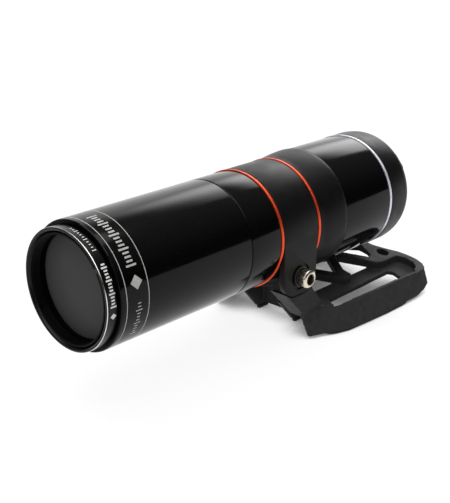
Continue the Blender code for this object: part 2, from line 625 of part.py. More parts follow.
rail_foot(1, "right")
rail_foot(-1, "left")
for side, name in SIDES:
    top = RIB_BOTTOM - GAP
    middle = (RIB_IN + RIB_OUT) / 2
    box("rib_foot_" + name, (side * middle, (RIB_FRONT + FOOT_REAR) / 2, (top + FLOOR) / 2),
        (RIB_OUT - RIB_IN, FOOT_REAR - RIB_FRONT - 0.4, top - FLOOR), RUBBER)

# ---- moving groups --------------------------------------------------------------------------
def carry(name, place, pieces, parent=None):
    """Hang pieces from an empty on their joint's axis, without moving them."""
    empty = bpy.data.objects.new(name, None)
    empty.location = place - (parent.location if parent else Vector())
    empty.parent = parent
    parts.objects.link(empty)
    for piece in pieces:
        piece.parent = empty
        piece.matrix_parent_inverse = Matrix.Translation(-place)
    return empty


FRONT_GROUP = ("filter_ring", "filter_retainer", "filter_glass", "dew_shield", "shield_oring")
FIXED_GROUP = ("bracket", "rail_foot", "rib_foot", "pivot_")
pieces = [obj for obj in parts.objects if obj.type == "MESH"]
front = [obj for obj in pieces if obj.name in FRONT_GROUP]
tilting = [obj for obj in pieces
           if obj.name not in FRONT_GROUP and not obj.name.startswith(FIXED_GROUP)]
tilt_axis = carry("tilt_axis", at(0, *PIVOT), tilting)
carry("thread_axis", at(0, SEAM, 0), front, tilt_axis)

for obj in pieces:
    obj.data.shade_smooth()
    obj.data.set_sharp_from_angle(angle=math.radians(35))
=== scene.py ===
"""Looks for an electronic finder scope: smooth turned barrel, knurled pivot screws, eased
skeleton bracket, printed bands and ports, on a pale floor under soft studio light."""
import math

import bmesh
import bpy
from mathutils import Euler, Matrix, Vector


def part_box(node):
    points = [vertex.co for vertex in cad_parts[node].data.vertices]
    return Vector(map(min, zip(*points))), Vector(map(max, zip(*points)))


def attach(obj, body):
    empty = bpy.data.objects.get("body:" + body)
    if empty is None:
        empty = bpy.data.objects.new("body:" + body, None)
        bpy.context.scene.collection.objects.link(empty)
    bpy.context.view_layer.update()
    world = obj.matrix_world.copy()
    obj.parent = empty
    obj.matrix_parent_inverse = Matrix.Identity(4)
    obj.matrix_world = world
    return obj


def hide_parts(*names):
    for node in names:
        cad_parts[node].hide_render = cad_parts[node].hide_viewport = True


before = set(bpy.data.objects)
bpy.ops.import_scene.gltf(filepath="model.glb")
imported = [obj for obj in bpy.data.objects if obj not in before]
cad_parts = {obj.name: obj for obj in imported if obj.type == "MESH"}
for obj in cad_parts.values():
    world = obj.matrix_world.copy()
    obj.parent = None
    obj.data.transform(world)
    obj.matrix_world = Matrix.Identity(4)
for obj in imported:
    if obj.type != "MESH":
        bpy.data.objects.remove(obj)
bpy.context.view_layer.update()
scene = bpy.context.scene
MM = 0.001
FINE, MEDIUM, SMALL = 224, 96, 48     # steps round turned pieces of three sizes
NOTHING = 1e-6                        # a length or radius under this counts as none


# ---- where things are, from the CAD parts -----------------------------------------------------
def middle(node):
    """The middle of a CAD node's box, in metres."""
    low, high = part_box(node)
    return (low + high) / 2


AXIS_Z = middle("main_barrel").z
RING_Y = middle("accent_ring_front").y
PIVOT_Y, PIVOT_Z = middle("pivot_screw_right").y, middle("pivot_screw_right").z


def at(x=0.0, station=0.0, z=0.0):
    """A point in metres, given in mm from the tube axis at the front accent ring."""
    return Vector((x * MM, RING_Y + station * MM, AXIS_Z + z * MM))


# ---- materials --------------------------------------------------------------------------------
GRAIN_DEPTH, LATHE_DEPTH = 0.0001, 0.00003
WAVE_PERIOD = 0.314                   # metres between a wave texture's bands at scale 1
SPECK_SCALE, SPECK_START, SPECK_STOP = 2600.0, 0.66, 0.78
EDGE_START, EDGE_STOP = 0.53, 0.62    # pointiness from flat to a worn edge
SMOOTHEST = 0.02                      # roughness never goes under this
IOR, COAT_ROUGHNESS = 1.5, 0.1


def mapped(tree, value, start, stop, low, high, kind="SMOOTHSTEP"):
    """A node that goes from low to high while the value goes from start to stop."""
    node = tree.nodes.new("ShaderNodeMapRange")
    node.interpolation_type = kind
    for socket, number in (("From Min", start), ("From Max", stop), ("To Min", low),
                           ("To Max", high)):
        node.inputs[socket].default_value = number
    tree.links.new(value, node.inputs["Value"])
    return node.outputs["Result"]


def surface(name, base, roughness, metallic=0.0, specular=0.5, coat=0.0, transmission=0.0,
            grain=None, mottle=(300.0, 0.15), uneven=(120.0, 0.05), lathe=None, worn=None,
            specks=None):
    """A node material. grain is (scale, strength) of the bump, mottle (scale, share) of the
    colour, uneven (scale, share) of the roughness, lathe the pitch in mm and strength of fine
    turning marks, worn (colour, amount) along sharp edges, specks (colour, amount) of dust."""
    mat = bpy.data.materials.new(name)
    mat.use_nodes = True
    nodes, links = mat.node_tree.nodes, mat.node_tree.links
    shader = nodes["Principled BSDF"]
    shader.inputs["Metallic"].default_value = metallic
    shader.inputs["Specular IOR Level"].default_value = specular
    shader.inputs["IOR"].default_value = IOR
    shader.inputs["Coat Weight"].default_value = coat
    shader.inputs["Coat Roughness"].default_value = COAT_ROUGHNESS
    shader.inputs["Transmission Weight"].default_value = transmission
    where = nodes.new("ShaderNodeTexCoord").outputs["Object"]

    def noise(scale, detail=3.0):
        node = nodes.new("ShaderNodeTexNoise")
        node.inputs["Scale"].default_value = scale
        node.inputs["Detail"].default_value = detail
        links.new(where, node.inputs["Vector"])
        return node.outputs["Fac"]

    def ranged(value, low, high, start=0.3, stop=0.7):
        return mapped(mat.node_tree, value, start, stop, low, high, "LINEAR")

    def mixed(factor, first, second):
        node = nodes.new("ShaderNodeMix")
        node.data_type = "RGBA"
        links.new(factor, node.inputs["Factor"])
        for socket, colour in ((node.inputs["A"], first), (node.inputs["B"], second)):
            if isinstance(colour, tuple):
                socket.default_value = (*colour, 1.0)
            else:
                links.new(colour, socket)
        return node.outputs["Result"]

    scale, share = mottle
    darker = tuple(c * (1 - share) for c in base)
    lighter = tuple(min(1.0, c * (1 + share)) for c in base)
    colour = mixed(ranged(noise(scale), 0, 1), darker, lighter)
    if specks:
        shade, amount = specks
        dust = ranged(noise(SPECK_SCALE, 1.0), 0, amount, SPECK_START, SPECK_STOP)
        colour = mixed(dust, colour, shade)
    if worn:
        shade, amount = worn
        sharp = nodes.new("ShaderNodeNewGeometry").outputs["Pointiness"]
        colour = mixed(ranged(sharp, 0, amount, EDGE_START, EDGE_STOP), colour, shade)
    links.new(colour, shader.inputs["Base Color"])
    scale, share = uneven
    links.new(ranged(noise(scale), max(SMOOTHEST, roughness - share), roughness + share),
              shader.inputs["Roughness"])
    normal = None
    if grain:
        bump = nodes.new("ShaderNodeBump")
        bump.inputs["Strength"].default_value = grain[1]
        bump.inputs["Distance"].default_value = GRAIN_DEPTH
        links.new(noise(grain[0], 2.0), bump.inputs["Height"])
        normal = bump.outputs["Normal"]
    if lathe:
        wave = nodes.new("ShaderNodeTexWave")
        wave.bands_direction = "Y"
        wave.inputs["Scale"].default_value = WAVE_PERIOD / (lathe[0] * MM)
        wave.inputs["Distortion"].default_value = 0.6
        wave.inputs["Detail Scale"].default_value = 2.0
        links.new(where, wave.inputs["Vector"])
        bump = nodes.new("ShaderNodeBump")
        bump.inputs["Strength"].default_value = lathe[1]
        bump.inputs["Distance"].default_value = LATHE_DEPTH
        links.new(wave.outputs["Fac"], bump.inputs["Height"])
        if normal:
            links.new(normal, bump.inputs["Normal"])
        normal = bump.outputs["Normal"]
    if normal:
        links.new(normal, shader.inputs["Normal"])
    return mat


GLOSS = surface("gloss_black", (0.0015, 0.0015, 0.0015), 0.1, specular=0.142,
                grain=(1500.0, 0.015), uneven=(90.0, 0.025), specks=((0.05, 0.05, 0.05), 0.25))
SATIN = surface("satin_black", (0.0036, 0.0036, 0.0038), 0.38, specular=0.12,
                grain=(9000.0, 0.25), uneven=(160.0, 0.05), lathe=(0.18, 0.12))
RIM = surface("rim_black", (0.003, 0.003, 0.003), 0.22, specular=0.18,
              grain=(6000.0, 0.1), lathe=(0.15, 0.12))
BORE = surface("bore_black", (0.0012, 0.0012, 0.0012), 0.45, specular=0.05, grain=(7000.0, 0.3))
BARE = surface("bare_edge", (0.8, 0.78, 0.74), 0.16, metallic=1.0, grain=(5000.0, 0.08))
ANODISED = surface("bracket_grey", (0.03, 0.03, 0.0305), 0.5, specular=0.07,
                   grain=(8000.0, 0.3), uneven=(140.0, 0.06), worn=((0.09, 0.09, 0.09), 0.5),
                   specks=((0.08, 0.08, 0.08), 0.2))
ORANGE = surface("orange_anodised", (0.8, 0.075, 0.016), 0.3, metallic=0.75, specular=0.6,
                 grain=(6000.0, 0.1), mottle=(500.0, 0.08), lathe=(0.12, 0.2))
SILVER = surface("silver_trim", (0.8, 0.78, 0.88), 0.36, metallic=0.6, grain=(5000.0, 0.08),
                 lathe=(0.12, 0.2))
STEEL = surface("screw_steel", (0.72, 0.66, 0.54), 0.2, metallic=1.0, grain=(4000.0, 0.12),
                mottle=(700.0, 0.12), uneven=(500.0, 0.08))
# painted shade: dark steel colour for the shade inside the pivot screws' hex sockets
SOCKET_PAINTED_SHADE = surface("socket_painted_shade", (0.12, 0.1, 0.075), 0.3, metallic=1.0, grain=(4000.0, 0.2),
                 mottle=(700.0, 0.2), uneven=(500.0, 0.08))
DARK_STEEL = surface("washer_black", (0.03, 0.029, 0.028), 0.35, metallic=0.6,
                     grain=(4000.0, 0.15))
PRINT = surface("printed_silver", (0.42, 0.42, 0.4), 0.5, specular=0.3,
                mottle=(2200.0, 0.2), grain=(6000.0, 0.2))
PRINT_WHITE = surface("printed_white", (0.72, 0.72, 0.7), 0.5, specular=0.3,
                      mottle=(2200.0, 0.12), grain=(6000.0, 0.2))
# painted reflection: the dark glass's even grey colour stands in for its reflection of the pale
# floor, and its own reflection is kept very low
FILTER = surface("filter_glass", (0.064, 0.064, 0.064), 0.06, specular=0.008,
                 mottle=(60.0, 0.04), uneven=(40.0, 0.02), specks=((0.12, 0.12, 0.12), 0.1))
LENS = surface("lens_glass", (0.5, 0.6, 0.62), 0.04, specular=0.5, transmission=0.9,
               mottle=(40.0, 0.08), uneven=(60.0, 0.01))
BOARD = surface("board", (0.01, 0.09, 0.04), 0.35, mottle=(900.0, 0.35), grain=(3000.0, 0.2))
CHIP = surface("chip", (0.015, 0.015, 0.02), 0.2, mottle=(900.0, 0.3), grain=(6000.0, 0.1))
BRASS = surface("brass", (0.66, 0.47, 0.2), 0.28, metallic=1.0, grain=(5000.0, 0.1))
GOLD = surface("gold_contact", (0.83, 0.6, 0.22), 0.22, metallic=1.0, grain=(5000.0, 0.1))
PLASTIC = surface("black_plastic", (0.01, 0.01, 0.01), 0.45, grain=(5000.0, 0.3))
RUBBER = surface("rubber", (0.013, 0.013, 0.013), 0.72, specular=0.3, grain=(3500.0, 0.5),
                 mottle=(500.0, 0.3), specks=((0.1, 0.1, 0.1), 0.3))
LAMP = surface("status_lamp", (0.25, 0.02, 0.02), 0.12, specular=0.5, coat=0.5,
               mottle=(900.0, 0.2), grain=(1500.0, 0.05))


# ---- building tools ---------------------------------------------------------------------------
# edges sharper than these angles, in degrees, stay sharp
CRISP, DOMED, TURNED, EASED, PLAIN, ROUND, SOFT = 24, 26, 28, 30, 35, 40, 50


def piece(name, mesh, mats, body, stands_for, smooth=PLAIN):
    """A new visible piece: its mesh in place, its materials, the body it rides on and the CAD
    nodes it stands for."""
    obj = bpy.data.objects.new(name, mesh)
    scene.collection.objects.link(obj)
    for mat in mats if isinstance(mats, (list, tuple)) else [mats]:
        mesh.materials.append(mat)
    mesh.shade_smooth()
    mesh.set_sharp_from_angle(angle=math.radians(smooth))
    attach(obj, body)
    if stands_for:
        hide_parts(*stands_for)


def finished(name, shape, outward=True):
    """A new mesh from a bmesh, which is freed."""
    if outward:
        bmesh.ops.recalc_face_normals(shape, faces=shape.faces)
    mesh = bpy.data.meshes.new(name)
    shape.to_mesh(mesh)
    shape.free()
    return mesh


SLIGHT_TURN = math.radians(12)        # a corner flatter than this isn't rounded
EDGE_SHARE = 0.42                     # a rounded corner takes at most this much of an edge


def eased(profile, radius=0.18, steps=3, closed=True):
    """Round the corners of a profile of (station, radius[, band]) points, with radius in mm."""
    out = []
    count = len(profile)
    for i, point in enumerate(profile):
        s, r = point[0], point[1]
        band = point[2] if len(point) > 2 else 0
        ends = not closed and i in (0, count - 1)
        before = profile[i - 1]
        after = profile[(i + 1) % count]
        a = Vector((before[0] - s, before[1] - r))
        b = Vector((after[0] - s, after[1] - r))
        if ends or a.length < NOTHING or b.length < NOTHING:
            out.append((s, r, band))
            continue
        turn = math.pi - a.angle(b, 0.0)
        if turn < SLIGHT_TURN:
            out.append((s, r, band))
            continue
        reach = min(radius * math.tan(turn / 2), EDGE_SHARE * a.length, EDGE_SHARE * b.length)
        start, stop = a.normalized() * reach, b.normalized() * reach
        for k in range(steps + 1):
            t = k / steps
            off = start * (1 - t) ** 2 + stop * t ** 2
            out.append((s + off.x, r + off.y, band))
    return out


def turned_mesh(name, profile, closed=True, steps=FINE, centre=None, axis="Y", flip=1,
                wobble=None):
    """Revolve (station, radius, band) points about the tube axis, or about an axis through
    centre along Y or X. band is the material index of the strip from that point to the next,
    flip mirrors the stations, and wobble(angle, point index) scales a point's radius, for
    knurls and hexagons."""
    shape = bmesh.new()
    rows = []
    for j, point in enumerate(profile):
        s, r = point[0], point[1]
        row = []
        for i in range(steps if r > NOTHING else 1):
            a = 2 * math.pi * i / steps
            rr = r * (wobble(a, j) if wobble else 1.0)
            u, v = rr * math.cos(a), rr * math.sin(a)
            if axis == "Y":
                place = at(u, s, v) if centre is None else centre + Vector((u, s, v)) * MM
            else:
                place = centre + Vector((flip * s, u, v)) * MM
            row.append(shape.verts.new(place))
        rows.append(row)
    pairs = list(zip(range(len(rows) - 1), range(1, len(rows))))
    if closed:
        pairs.append((len(rows) - 1, 0))
    for j, k in pairs:
        first, second = rows[j], rows[k]
        band = profile[j][2] if len(profile[j]) > 2 else 0
        for i in range(steps):
            n = (i + 1) % steps
            if len(first) == 1 and len(second) == 1:
                continue
            if len(first) == 1:
                face = (first[0], second[n], second[i])
            elif len(second) == 1:
                face = (first[i], first[n], second[0])
            else:
                face = (first[i], first[n], second[n], second[i])
            shape.faces.new(face).material_index = band
    return finished(name, shape)


def ring(outer, inner):
    """A closed ring profile from its outer and inner sides, each front to rear."""
    return list(reversed(outer)) + list(inner)


def straight(front, rear, radius):
    """A straight side of a ring profile."""
    return [(front, radius), (rear, radius)]


def loft_mesh(name, sections):
    """Join equal-sided sections of (x, station, z) points, with both ends closed."""
    shape = bmesh.new()
    rows = [[shape.verts.new(at(*p)) for p in section] for section in sections]
    sides = len(rows[0])
    for near, far in zip(rows, rows[1:]):
        for i in range(sides):
            j = (i + 1) % sides
            shape.faces.new((near[i], near[j], far[j], far[i]))
    shape.faces.new(rows[0][::-1])
    shape.faces.new(rows[-1])
    return finished(name, shape)


def helper(name, mesh):
    """A plain object in the scene, which rides on nothing."""
    obj = bpy.data.objects.new(name, mesh)
    scene.collection.objects.link(obj)
    return obj


def baked(obj, *modifiers):
    """Apply (type, settings) modifiers, return the resulting mesh and remove the object."""
    for kind, settings in modifiers:
        modifier = obj.modifiers.new(kind, kind)
        for key, value in settings.items():
            setattr(modifier, key, value)
    bpy.context.view_layer.update()
    seen = obj.evaluated_get(bpy.context.evaluated_depsgraph_get())
    mesh = bpy.data.meshes.new_from_object(seen)
    mesh.transform(obj.matrix_world)
    bpy.data.objects.remove(obj, do_unlink=True)
    return mesh


def cleared(objects):
    """Remove objects that were only tools."""
    for obj in objects:
        bpy.data.objects.remove(obj, do_unlink=True)


def boolean(obj, other, operation):
    """Join another object to this one or cut it out, when the object is baked."""
    modifier = obj.modifiers.new(other.name, "BOOLEAN")
    modifier.operation = operation
    modifier.solver = "EXACT"
    modifier.object = other


def block(name, centre, size, turn=(0, 0, 0), ease=0.0, segments=4):
    """A box with eased edges, its centre and size in mm, placed like at()."""
    shape = bmesh.new()
    bmesh.ops.create_cube(shape, size=1.0)
    bmesh.ops.scale(shape, vec=Vector(size) * MM, verts=shape.verts)
    if ease:
        bmesh.ops.bevel(shape, geom=shape.edges[:], offset=ease * MM, segments=segments,
                        profile=0.5, affect="EDGES")
    bmesh.ops.transform(shape, verts=shape.verts,
                        matrix=Matrix.Translation(at(*centre)) @ Euler(turn).to_matrix().to_4x4())
    return finished(name, shape)


def outline_solid(name, outline, low, high):
    """A (station, z) outline made solid from x = low to x = high."""
    shape = bmesh.new()
    near = [shape.verts.new(at(low, s, z)) for s, z in outline]
    far = [shape.verts.new(at(high, s, z)) for s, z in outline]
    shape.faces.new(near)
    shape.faces.new(far[::-1])
    for i in range(len(outline)):
        j = (i + 1) % len(outline)
        shape.faces.new((near[i], far[i], far[j], near[j]))
    return finished(name, shape)


def arc(centre, radius, start, end, steps):
    """Points round a centre from a start to an end angle in degrees."""
    span = [math.radians(start + (end - start) * i / steps) for i in range(steps + 1)]
    return [(centre[0] + radius * math.cos(a), centre[1] + radius * math.sin(a)) for a in span]


def hexagon(angle):
    """The reach of a hexagon's side at an angle, with its corners at 1."""
    turn = (angle % (math.pi / 3)) - math.pi / 6
    return math.cos(math.pi / 6) / math.cos(turn)


# ---- filter on the front ----------------------------------------------------------------------
# Lengths from here on are in mm. Stations run to the rear from the front accent ring.
FILTER_FRONT, FILTER_REAR, FILTER_R = -97.7, -87.4, 25.3
FILTER_THREAD_R, FILTER_BORE, GLASS_STOP = 24.0, 21.8, -88.5
RETAINER_FRONT, RETAINER_REAR, RETAINER_R, RETAINER_BORE = -97.1, -90.6, 23.0, 22.35
SLOT_TURN = math.radians(-35)         # the two spanner slots in the retaining ring
GLASS_FRONT, GLASS_REAR, GLASS_R = -90.3, -88.8, 22.9
SHIELD_FRONT, TUBE_R, SEAM = -92.1, 27.1, -19.5
# the second band is dark: the bore's own black, and painted shade in the pivot screws' sockets
DARK_AND_SHADE_BAND, EDGE = 1, 2                     # material indexes of a turned profile's bands


def threaded(front, rear, crest, root, pitch):
    """Inner thread rows from front to rear."""
    turns = int((rear - front) / pitch)
    rows = []
    for i in range(turns):
        rows += [(front + i * pitch, root, DARK_AND_SHADE_BAND), (front + (i + 0.5) * pitch, crest, DARK_AND_SHADE_BAND)]
    return rows


def filter_parts():
    seat = SHIELD_FRONT - 0.3             # where the rim meets the shield
    outer = [(FILTER_FRONT, FILTER_R - 0.42), (FILTER_FRONT + 0.1, FILTER_R - 0.2),
             (FILTER_FRONT + 0.3, FILTER_R, EDGE), (FILTER_FRONT + 0.42, FILTER_R),
             (seat - 0.7, FILTER_R), (seat - 0.2, FILTER_R - 0.15), (seat, FILTER_R - 0.5),
             (seat, FILTER_THREAD_R), (FILTER_REAR, FILTER_THREAD_R)]
    inner = [(FILTER_FRONT, 24.3), (FILTER_FRONT + 0.25, 23.9), (FILTER_FRONT + 0.7, 23.7),
             (-96.6, 23.35), (GLASS_STOP, 23.3), (GLASS_STOP, FILTER_BORE),
             (FILTER_REAR, FILTER_BORE)]
    profile = eased(ring(outer, inner), 0.12, 2)
    piece("filter_rim", turned_mesh("filter_rim", profile), [RIM, BORE, BARE], "filter",
          ("filter_ring",), TURNED)
    outer = straight(RETAINER_FRONT, RETAINER_REAR, RETAINER_R)
    inner = ([(RETAINER_FRONT, RETAINER_BORE)] +
             threaded(-96.8, -92.6, crest=22.0, root=22.3, pitch=0.5) +
             [(-92.4, 22.25), (-92.4, 21.7), (-90.7, 21.7)])
    retainer = helper("retainer", turned_mesh("retainer", ring(outer, inner)))
    slots = helper("slots", block("slots", (0, RETAINER_FRONT, 0), (50, 3.6, 1.8),
                                  (0, SLOT_TURN, 0), ease=0.15, segments=2))
    boolean(retainer, slots, "DIFFERENCE")
    mesh = baked(retainer)
    cleared([slots])
    piece("retaining_ring", mesh, [BORE], "filter", ("filter_retainer",), TURNED)
    # the glass's grey is a painted reflection of the floor
    glass = eased([(GLASS_REAR, 0.0), (GLASS_REAR, GLASS_R), (GLASS_FRONT, GLASS_R),
                   (GLASS_FRONT, 0.0)], 0.25, 3, False)
    piece("dark_filter", turned_mesh("dark_filter", glass, False), FILTER, "filter_glass",
          ("filter_glass",), TURNED)


# ---- dew shield, barrel and objective ---------------------------------------------------------
SHIELD_THREAD_R, SHIELD_BORE, SOCKET_R, SOCKET_START = 24.35, 25.0, 25.6, -28.6
BARREL_FRONT, BARREL_REAR, BARREL_BORE = -28.2, 29.8, 23.6
NECK_R, GROOVE_FRONT, GROOVE_REAR, GROOVE_R = 25.3, -24.0, -20.6, 24.35
CLAMP_SEAT, CLAMP_SEAT_R = -0.95, 25.6


def shield_parts():
    outer = [(SHIELD_FRONT, TUBE_R - 0.55, DARK_AND_SHADE_BAND), (SHIELD_FRONT + 0.12, TUBE_R - 0.15),
             (SHIELD_FRONT + 0.55, TUBE_R), (SEAM - 0.5, TUBE_R), (SEAM - 0.15, TUBE_R - 0.3)]
    inner = [(SHIELD_FRONT, 24.9, DARK_AND_SHADE_BAND), (SHIELD_FRONT + 0.5, SHIELD_THREAD_R, DARK_AND_SHADE_BAND),
             (-86.8, SHIELD_THREAD_R, DARK_AND_SHADE_BAND), (-86.0, SHIELD_BORE, DARK_AND_SHADE_BAND),
             (SOCKET_START, SHIELD_BORE, DARK_AND_SHADE_BAND), (SOCKET_START, SOCKET_R, DARK_AND_SHADE_BAND),
             (SEAM - 0.15, SOCKET_R, DARK_AND_SHADE_BAND)]
    profile = eased(ring(outer, inner), 0.16, 3)
    piece("shield_tube", turned_mesh("shield_tube", profile), [GLOSS, BORE], "shield",
          ("dew_shield",), TURNED)
    outer = [(BARREL_FRONT, NECK_R - 0.3), (BARREL_FRONT + 0.3, NECK_R),
             (GROOVE_FRONT, NECK_R), (GROOVE_FRONT, GROOVE_R), (GROOVE_REAR, GROOVE_R),
             (GROOVE_REAR, NECK_R), (SEAM + 0.15, NECK_R), (SEAM + 0.15, TUBE_R - 0.3),
             (SEAM + 0.5, TUBE_R), (CLAMP_SEAT - 0.35, TUBE_R), (CLAMP_SEAT, TUBE_R - 0.35),
             (CLAMP_SEAT, CLAMP_SEAT_R), (BARREL_REAR, CLAMP_SEAT_R)]
    inner = [(BARREL_FRONT, BARREL_BORE, DARK_AND_SHADE_BAND), (BARREL_REAR, BARREL_BORE, DARK_AND_SHADE_BAND)]
    profile = eased(ring(outer, inner), 0.14, 3)
    piece("barrel_tube", turned_mesh("barrel_tube", profile), [GLOSS, BORE], "tube",
          ("main_barrel",), TURNED)


# each lens: the stations of its edge, front and rear, and how far its faces bulge there
LENSES = (("objective_front_lens", -17.6, -11.9, 2.5, 1.0),
          ("objective_rear_lens", -8.0, -3.9, 1.2, -0.8))
LENS_R, LENS_ROWS = 21.6, 12


def lens_parts():
    shares = [i / LENS_ROWS for i in range(LENS_ROWS + 1)]
    for node, front, rear, front_bulge, rear_bulge in LENSES:
        back = [(rear + rear_bulge * (1 - t * t), LENS_R * t) for t in shares]
        face = [(front - front_bulge * (1 - t * t), LENS_R * t) for t in reversed(shares)]
        piece(node + "_glass", turned_mesh(node, back + face, False, MEDIUM), LENS, "tube",
              (node,), TURNED)


# ---- accent rings and clamp ring --------------------------------------------------------------
SLEEVE_BORE = 25.9                    # bore of everything that slides onto the barrel's seat
ACCENTS = (("accent_ring_front", 0.0, 27.55), ("accent_ring_rear", 25.4, 27.65))
ACCENT_HALF, ACCENT_FLAT, ACCENT_CHAMFER = 0.65, 0.4, 0.4


def accent_parts():
    for node, station, radius in ACCENTS:
        front, rear = station - ACCENT_HALF, station + ACCENT_HALF
        outer = [(front, radius - ACCENT_CHAMFER), (station - ACCENT_FLAT, radius),
                 (station + ACCENT_FLAT, radius), (rear, radius - ACCENT_CHAMFER)]
        profile = eased(ring(outer, straight(front, rear, SLEEVE_BORE)), 0.2, 3)
        piece(node + "_band", turned_mesh(node, profile), ORANGE, "tube", (node,),
              SOFT)


CLAMP_R, CLAMP_FRONT, CLAMP_REAR = 27.4, 0.95, 24.45
PIVOT_DROP = (PIVOT_Z - AXIS_Z) / MM
PIVOT_POINT = Vector((0, PIVOT_Y, PIVOT_Z))
EAR_CORNER, EAR_DEPTH, EAR_EDGE = 8.7, 3.0, 0.35
PIVOT_BORE, WASHER_RECESS, CUTTER_STEPS = 2.8, 6.2, 72


def cross_cutter(name, radius, low, high):
    """A cutter along X on the tilt axis."""
    profile = [(low, 0.0), (low, radius), (high, radius), (high, 0.0)]
    return helper(name, turned_mesh(name, profile, False, CUTTER_STEPS, PIVOT_POINT, "X"))


def clamp_parts():
    outer = [(CLAMP_FRONT, CLAMP_R - 0.3), (CLAMP_FRONT + 0.3, CLAMP_R),
             (CLAMP_REAR - 0.3, CLAMP_R), (CLAMP_REAR, CLAMP_R - 0.3)]
    profile = eased(ring(outer, straight(CLAMP_FRONT, CLAMP_REAR, SLEEVE_BORE)), 0.15, 2)
    clamp = helper("clamp", turned_mesh("clamp", profile))
    rear = CLAMP_REAR - 0.7
    outline = ([(rear, 0.0), (CLAMP_FRONT, 0.0)] +
               arc((CLAMP_FRONT + EAR_CORNER, PIVOT_DROP), EAR_CORNER, 180, 270, 18) +
               arc((rear - EAR_CORNER, PIVOT_DROP), EAR_CORNER, 270, 360, 18)[1:])
    cutters = []
    for side in (1, -1):
        low, high = sorted((side * (CLAMP_R - EAR_DEPTH), side * (CLAMP_R - 0.03)))
        blank = helper("ear", outline_solid("ear", outline, low, high))
        eased_ear = helper("eased_ear", baked(blank, ("BEVEL", dict(
            width=EAR_EDGE * MM, segments=3, limit_method="ANGLE",
            angle_limit=math.radians(40)))))
        boolean(clamp, eased_ear, "UNION")
        cutters.append(eased_ear)
    room = helper("room", turned_mesh(
        "room", [(-5, 0.0), (-5, SLEEVE_BORE), (35, SLEEVE_BORE), (35, 0.0)], False))
    bore = cross_cutter("bore", PIVOT_BORE, -40, 40)
    recesses = [cross_cutter("recess", WASHER_RECESS, *sorted((side * (CLAMP_R - 0.7), side * 30)))
                for side in (1, -1)]
    for cutter in [room, bore] + recesses:
        boolean(clamp, cutter, "DIFFERENCE")
        cutters.append(cutter)
    mesh = baked(clamp)
    cleared(cutters)
    piece("clamp_with_ears", mesh, SATIN, "tube", ("clamp_ring",), EASED)


# ---- pivot screws and washers -----------------------------------------------------------------
WASHER_SEAT, WASHER_THICK, WASHER_R, WASHER_BORE = 27.0, 0.9, 4.7, 2.8
HEAD_SEAT, HEAD_FACE, SHANK_R = 28.2, 33.1, 2.5
THREAD_START, THREAD_PITCH, THREAD_TURNS, THREAD_ROOT = 21.4, 0.8, 8, 2.2
KNURLS, KNURL_DEPTH, KNURL_SHAPE, KNURL_STEPS = 40, 0.045, 0.7, 6


def pivot_parts():
    thread = []
    for i in range(THREAD_TURNS):
        thread += [(THREAD_START + THREAD_PITCH * i, THREAD_ROOT),
                   (THREAD_START + THREAD_PITCH * (i + 0.5), SHANK_R)]
    smooth = ([(THREAD_START - 0.5, 0.0), (THREAD_START - 0.5, 1.9)] + thread +
              [(HEAD_SEAT, SHANK_R), (HEAD_SEAT, 3.95)])
    knurled = [(HEAD_SEAT + 0.25, 4.22), (HEAD_SEAT + 0.5, 4.26), (HEAD_FACE - 1.15, 4.26),
               (HEAD_FACE - 0.9, 4.12)]
    cap = [(HEAD_FACE - 0.8, 4.2), (HEAD_FACE - 0.62, 4.1), (HEAD_FACE - 0.4, 3.85),
           (HEAD_FACE - 0.2, 3.45), (HEAD_FACE - 0.04, 3.0), (HEAD_FACE - 0.02, 2.78),
           (HEAD_FACE - 0.16, 2.6, DARK_AND_SHADE_BAND)]
    # the socket's walls take the second, darker material: painted shade inside the recess
    socket = [(HEAD_FACE - 0.45, 2.36, DARK_AND_SHADE_BAND), (HEAD_FACE - 2.4, 2.3, DARK_AND_SHADE_BAND)]
    point = [(HEAD_FACE - 2.5, 2.0, DARK_AND_SHADE_BAND), (HEAD_FACE - 2.55, 1.35), (HEAD_FACE - 3.2, 0.0)]
    profile = smooth + knurled + cap + socket + point
    first, last = len(smooth), len(smooth) + len(knurled)
    hex_first = last + len(cap)

    def wobble(angle, row):
        if first <= row < last - 1:
            share = (angle * KNURLS / (2 * math.pi)) % 1.0
            return 1 - KNURL_DEPTH * (1 - abs(2 * share - 1)) ** KNURL_SHAPE
        if hex_first <= row < hex_first + len(socket):
            return hexagon(angle)
        return 1.0

    for side, name in ((1, "right"), (-1, "left")):
        mesh = turned_mesh("screw_" + name, profile, False, KNURLS * KNURL_STEPS, PIVOT_POINT,
                           "X", side, wobble)
        piece("socket_screw_" + name, mesh, [STEEL, SOCKET_PAINTED_SHADE], "screw_" + name,
              ("pivot_screw_" + name,), CRISP)
        face = WASHER_SEAT + WASHER_THICK
        edge = eased([(face, WASHER_R), (WASHER_SEAT, WASHER_R), (WASHER_SEAT, WASHER_BORE),
                      (face, WASHER_BORE)], 0.15, 2)
        mesh = turned_mesh("washer_" + name, edge, True, MEDIUM, PIVOT_POINT, "X", side)
        piece("washer_" + name, mesh, DARK_STEEL, "tube", ("pivot_washer_" + name,),
              EASED)


# ---- rear housing -----------------------------------------------------------------------------
HOUSING_BORE = 26.6
FLARE_FRONT, FLARE_REAR = 26.35, 44.35
SWELL_START, SWELL_STEP, SWELL_ROWS, SWELL_LOW, SWELL_RISE = 28.6, 1.6, 10, 27.26, 1.54
SHELL_FRONT, SHELL_REAR, SHELL_R = 44.65, 78.9, 28.4
TRIM_FRONT, TRIM_REAR = 79.2, 80.4
CAP_R, CAP_FRONT, CAP_END = 28.7, 80.7, 97.4


